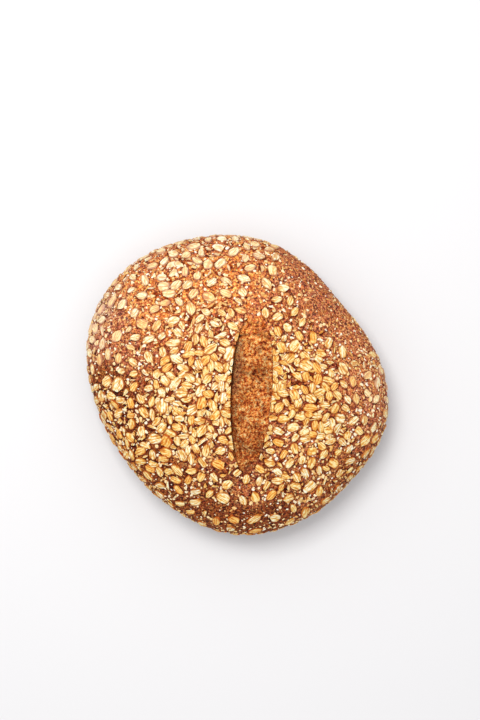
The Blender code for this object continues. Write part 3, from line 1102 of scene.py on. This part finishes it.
def laid(oats, flakes, name):
    """One mesh of all these oats, each with its own tone."""
    draw = random.Random(LAY_SEED)
    together = bmesh.new()
    for oat_frame, length, width in oats:
        bm = bmesh.new()
        bm.from_mesh(draw.choice(flakes))
        tone_of = bm.verts.layers.float.new("tone")
        flour_of = bm.verts.layers.float.new("flour")
        tone = min(1.0, draw.random() + soft_spots(oat_frame.translation, OATS_TOASTED))
        flour = soft_spots(oat_frame.translation, OATS_FLOURED)
        thick = draw.uniform(*FLAKE_THICKNESS)
        size = Matrix.Diagonal((length * RIM_ALLOWANCE, width * RIM_ALLOWANCE, thick, 1))
        rolled = Matrix.Rotation(draw.uniform(-ASKEW, ASKEW), 4, "X")
        pitched = Matrix.Rotation(draw.uniform(-ASKEW, ASKEW) / 2, 4, "Y")
        bmesh.ops.transform(bm, verts=bm.verts, matrix=oat_frame @ rolled @ pitched @ size)
        for vert in bm.verts:
            vert[tone_of] = tone
            vert[flour_of] = flour
        cut_at_lip(bm, oat_frame.translation)
        for vert in bm.verts:
            vert.co = in_box(vert.co)
        one = mesh_from(bm, "one")
        together.from_mesh(one)
        bpy.data.meshes.remove(one)
    mesh = mesh_from(together, name)
    mesh.shade_smooth()
    mesh.set_sharp_from_angle(angle=OAT_SHARP)
    return mesh


whole_mesh = laid(WHOLE_OATS, WHOLE_FLAKES, "rolled_oats")
broken_mesh = laid(BROKEN_OATS, BROKEN_FLAKES, "broken_oats")
for mesh in (whole_mesh, broken_mesh):
    print("triangles of the", mesh.name, triangles(mesh))

# %% [markdown]
# ## The finish of the oats
#
# A toasted oat is pale cream where the starch is bare and golden where it caught the heat: at the rim, on
# the ridges, and in streaks along the flake. Its rim is drawn darker still, as painted shade for the thin
# shadow round each oat, and the whitest of the streaks are partly painted highlight. The streaks read the
# flake's own coordinates, stretched along it, so they turn with each oat. The tone that each flake drew
# sets how far it was toasted.

# %% Toasted oat
STREAKS_ACROSS = 3.4
STREAKS_ALONG = 0.8
STREAKS_APART = 61.0  # how far apart in the noise flakes of different tones are
MOTTLE_GRAIN = 1 / 0.0024


def toasted_oat():
    """Pressed and toasted oat: dull as paper, with only a faint sheen on its ridges."""
    material, tree, output = new_material("toasted_oat")
    place = add_node(tree, "TexCoord").outputs["Object"]
    flake = add_node(tree, "Attribute", attribute_name="flake").outputs["Vector"]
    tone, flour = [
        add_node(tree, "Attribute", attribute_name=name).outputs["Fac"] for name in ("tone", "flour")
    ]
    parts = add_node(tree, "SeparateXYZ", {"Vector": flake}).outputs
    along, across, shift = [
        add_node(tree, "Math", {0: part, 1: scale}, operation="MULTIPLY").outputs[0]
        for part, scale in ((parts["X"], STREAKS_ALONG), (parts["Y"], STREAKS_ACROSS), (tone, STREAKS_APART))
    ]
    grain = add_node(tree, "CombineXYZ", {"X": along, "Y": across, "Z": shift}).outputs[0]
    streaks, mottle = [
        add_node(
            tree, "TexNoise", {"Vector": spot, "Scale": scale, "Detail": detail, "Roughness": 0.6}
        ).outputs["Fac"]
        for spot, scale, detail in ((grain, 1.0, 3.0), (place, MOTTLE_GRAIN, 2.0))
    ]
    colour, toast_and_painted_highlight = [
        add_node(tree, "ValToRGB", {"Fac": pattern}, stops=stops).outputs["Color"]
        for pattern, stops in (
            (tone, [(0.00, "#e1e1cd"), (0.30, "#e1ddbb"), (0.75, "#e1d299"), (1.00, "#e1c075")]),
            # the white end of the streaks is partly pale starch and partly painted highlight
            (streaks, [(0.39, "#ca7f2e"), (0.45, "#ebb244"), (0.49, "#f9d576"), (0.53, "#ffffff")]),
        )
    ]
    toasted_rim_and_shade, spotted = [
        add_node(
            tree, "MapRange", {"Value": value, "From Min": least, "From Max": full, "To Max": most}
        ).outputs[0]
        for value, least, full, most in ((parts["Z"], 0.80, 0.98, 1.0), (mottle, 0.48, 0.64, 0.8))
    ]
    for share, layer, blend in (
        (0.92, toast_and_painted_highlight, "MULTIPLY"),
        # painted shade: the rim is toasted, and drawn darker still for the thin shadow line round each oat
        (toasted_rim_and_shade, linear("#c57d34"), "MULTIPLY"),
        (spotted, linear("#f4c160"), "MULTIPLY"),
        (flour, linear("#efe4ca"), "MIX"),
    ):
        colour = add_node(
            tree, "Mix", {0: share, 6: colour, 7: layer}, data_type="RGBA", blend_type=blend
        ).outputs[2]
    bump = add_node(tree, "Bump", {"Height": streaks, "Strength": 1.0, "Distance": 0.0006}).outputs["Normal"]
    shader = add_node(tree, "BsdfPrincipled", {
        "Base Color": colour, "Roughness": 0.62, "IOR": 1.45, "Specular IOR Level": 0.25, "Normal": bump,
    })
    tree.links.new(shader.outputs[0], output.inputs["Surface"])
    return material


oat_finish = toasted_oat()
for mesh in (whole_mesh, broken_mesh):
    mesh.materials.append(oat_finish)
    piece = new_object(mesh.name, mesh)
    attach(piece, "root")

# %% [markdown]
# ## Crumbs of oat and flecks of bran
#
# Between the whole oats lie their crumbs: cream chips 1 to 4 mm long, thickest where the oats are, with a
# few on the bare shoulder. Finer still are flecks of bran, orange or dark. Both are small faceted chips,
# made from an icosphere with its points shaken, flattened and pressed into the crust.

# %% Crumbs and flecks
CHIP_KINDS = 8
CHIP_SHAKEN = (0.72, 1.25)
CHIP_TILT = 0.25
CHIP_RAISE = 0.0003  # the grit of the crust would hide some otherwise
CHIP_SMALLNESS = 1.6  # above 1, small chips outnumber large ones
CHIP_GRAIN = 1 / 0.0012
CHIP_WIDTH_SHARE = (0.45, 0.85)
CHIP_HEIGHT_SHARE = 0.32
# least is how thick the chips lie where they are thinnest, and thick_where says where they lie thickest
CRUMBS = {
    "name": "oat_crumbs", "slot": "oats", "finish": "oat_crumb", "seed": 71, "shape_seed": 3,
    "tries": 15000, "length": (0.0012, 0.0038), "least": 0.20, "thick_where": cover, "off_oats": -0.0002,
    "stops": [(0.0, "#ece8d8"), (0.30, "#ecdeb9"), (0.65, "#e7c687"), (1.0, "#d19a53")],
}
FLECKS = {
    "name": "bran_flecks", "slot": "crust", "finish": "bran_fleck", "seed": 83, "shape_seed": 4,
    "tries": 16000, "length": (0.0006, 0.0016), "least": 0.35, "thick_where": bareness, "off_oats": 0.0002,
    "stops": [(0.0, "#532815"), (0.45, "#a75d28"), (0.80, "#d28b44"), (1.0, "#dbaa6f")],
}


def chip_mesh(number):
    """An uneven chip, 1 long, 1 wide and 1 high."""
    draw = random.Random(2000 + number)
    bm = bmesh.new()
    bmesh.ops.create_icosphere(bm, subdivisions=1, radius=0.5)
    for vert in bm.verts:
        vert.co *= draw.uniform(*CHIP_SHAKEN)
    return mesh_from(bm, "chip")


CHIPS = [chip_mesh(number) for number in range(CHIP_KINDS)]


def scattered(sort):
    """Frames and lengths of the chips of one sort."""
    draw = random.Random(sort["seed"])
    shortest, longest = sort["length"]
    chips = []
    for _ in range(sort["tries"]):
        azimuth, climb = anywhere(draw)
        turn = draw.uniform(0, math.tau)
        length = shortest + (longest - shortest) * draw.random() ** CHIP_SMALLNESS
        luck = draw.random()
        chosen = draw.random()
        chip_frame, stretch = on_crust(azimuth, climb, turn)
        place = chip_frame.translation
        if luck > stretch / MEAN_RADIUS**2 or place.z <= OAT_LOWEST:
            continue
        if chosen > sort["least"] + (1 - sort["least"]) * sort["thick_where"](place):
            continue
        if climb > 0 and not clear_of_score(place, length / 2):
            continue
        if distance_to_oats(place) < sort["off_oats"]:
            continue
        chips.append((chip_frame, length))
    return chips


def joined_chips(sort):
    """One mesh of all the chips of a sort, each with its own tone, joined from arrays."""
    draw = random.Random(sort["shape_seed"])
    corners, faces, tones, count = [], [], [], 0
    for chip_frame, length in scattered(sort):
        mesh = CHIPS[draw.randrange(CHIP_KINDS)]
        width = length * draw.uniform(*CHIP_WIDTH_SHARE)
        size = Matrix.Diagonal((length, width, length * CHIP_HEIGHT_SHARE, 1))
        tilted = Matrix.Rotation(draw.uniform(-CHIP_TILT, CHIP_TILT), 4, "X")
        laid_chip = chip_frame @ Matrix.Translation((0, 0, CHIP_RAISE)) @ tilted @ size
        tone = draw.random()
        for vert in mesh.vertices:
            corners.append(in_box(laid_chip @ vert.co))
            tones.append(tone)
        faces += [[count + corner for corner in face.vertices] for face in mesh.polygons]
        count += len(mesh.vertices)
    joined = bpy.data.meshes.new(sort["name"])
    joined.from_pydata(corners, [], faces)
    joined.attributes.new("tone", "FLOAT", "POINT").data.foreach_set("value", tones)
    return joined


def chip_material(name, stops):
    """A dry chip with a dull face: each has one colour of the ramp, mottled a little."""
    material, tree, output = new_material(name)
    tone = add_node(tree, "Attribute", attribute_name="tone").outputs["Fac"]
    place = add_node(tree, "TexCoord").outputs["Object"]
    mottle = add_node(tree, "TexNoise", {"Vector": place, "Scale": CHIP_GRAIN, "Detail": 2.0}).outputs["Fac"]
    base = add_node(tree, "ValToRGB", {"Fac": tone}, stops=stops).outputs["Color"]
    shade = add_node(
        tree, "ValToRGB", {"Fac": mottle}, stops=[(0.35, "#c99a64"), (0.60, "#ffffff")]
    ).outputs["Color"]
    colour = add_node(
        tree, "Mix", {0: 0.4, 6: base, 7: shade}, data_type="RGBA", blend_type="MULTIPLY"
    ).outputs[2]
    shader = add_node(tree, "BsdfPrincipled", {
        "Base Color": colour, "Roughness": 0.7, "IOR": 1.45, "Specular IOR Level": 0.2,
    })
    tree.links.new(shader.outputs[0], output.inputs["Surface"])
    return material


for sort in (CRUMBS, FLECKS):
    mesh = joined_chips(sort)
    mesh.materials.append(chip_material(sort["finish"], sort["stops"]))
    piece = new_object(mesh.name, mesh)
    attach(piece, "root")
    print("triangles of the", mesh.name, triangles(mesh))
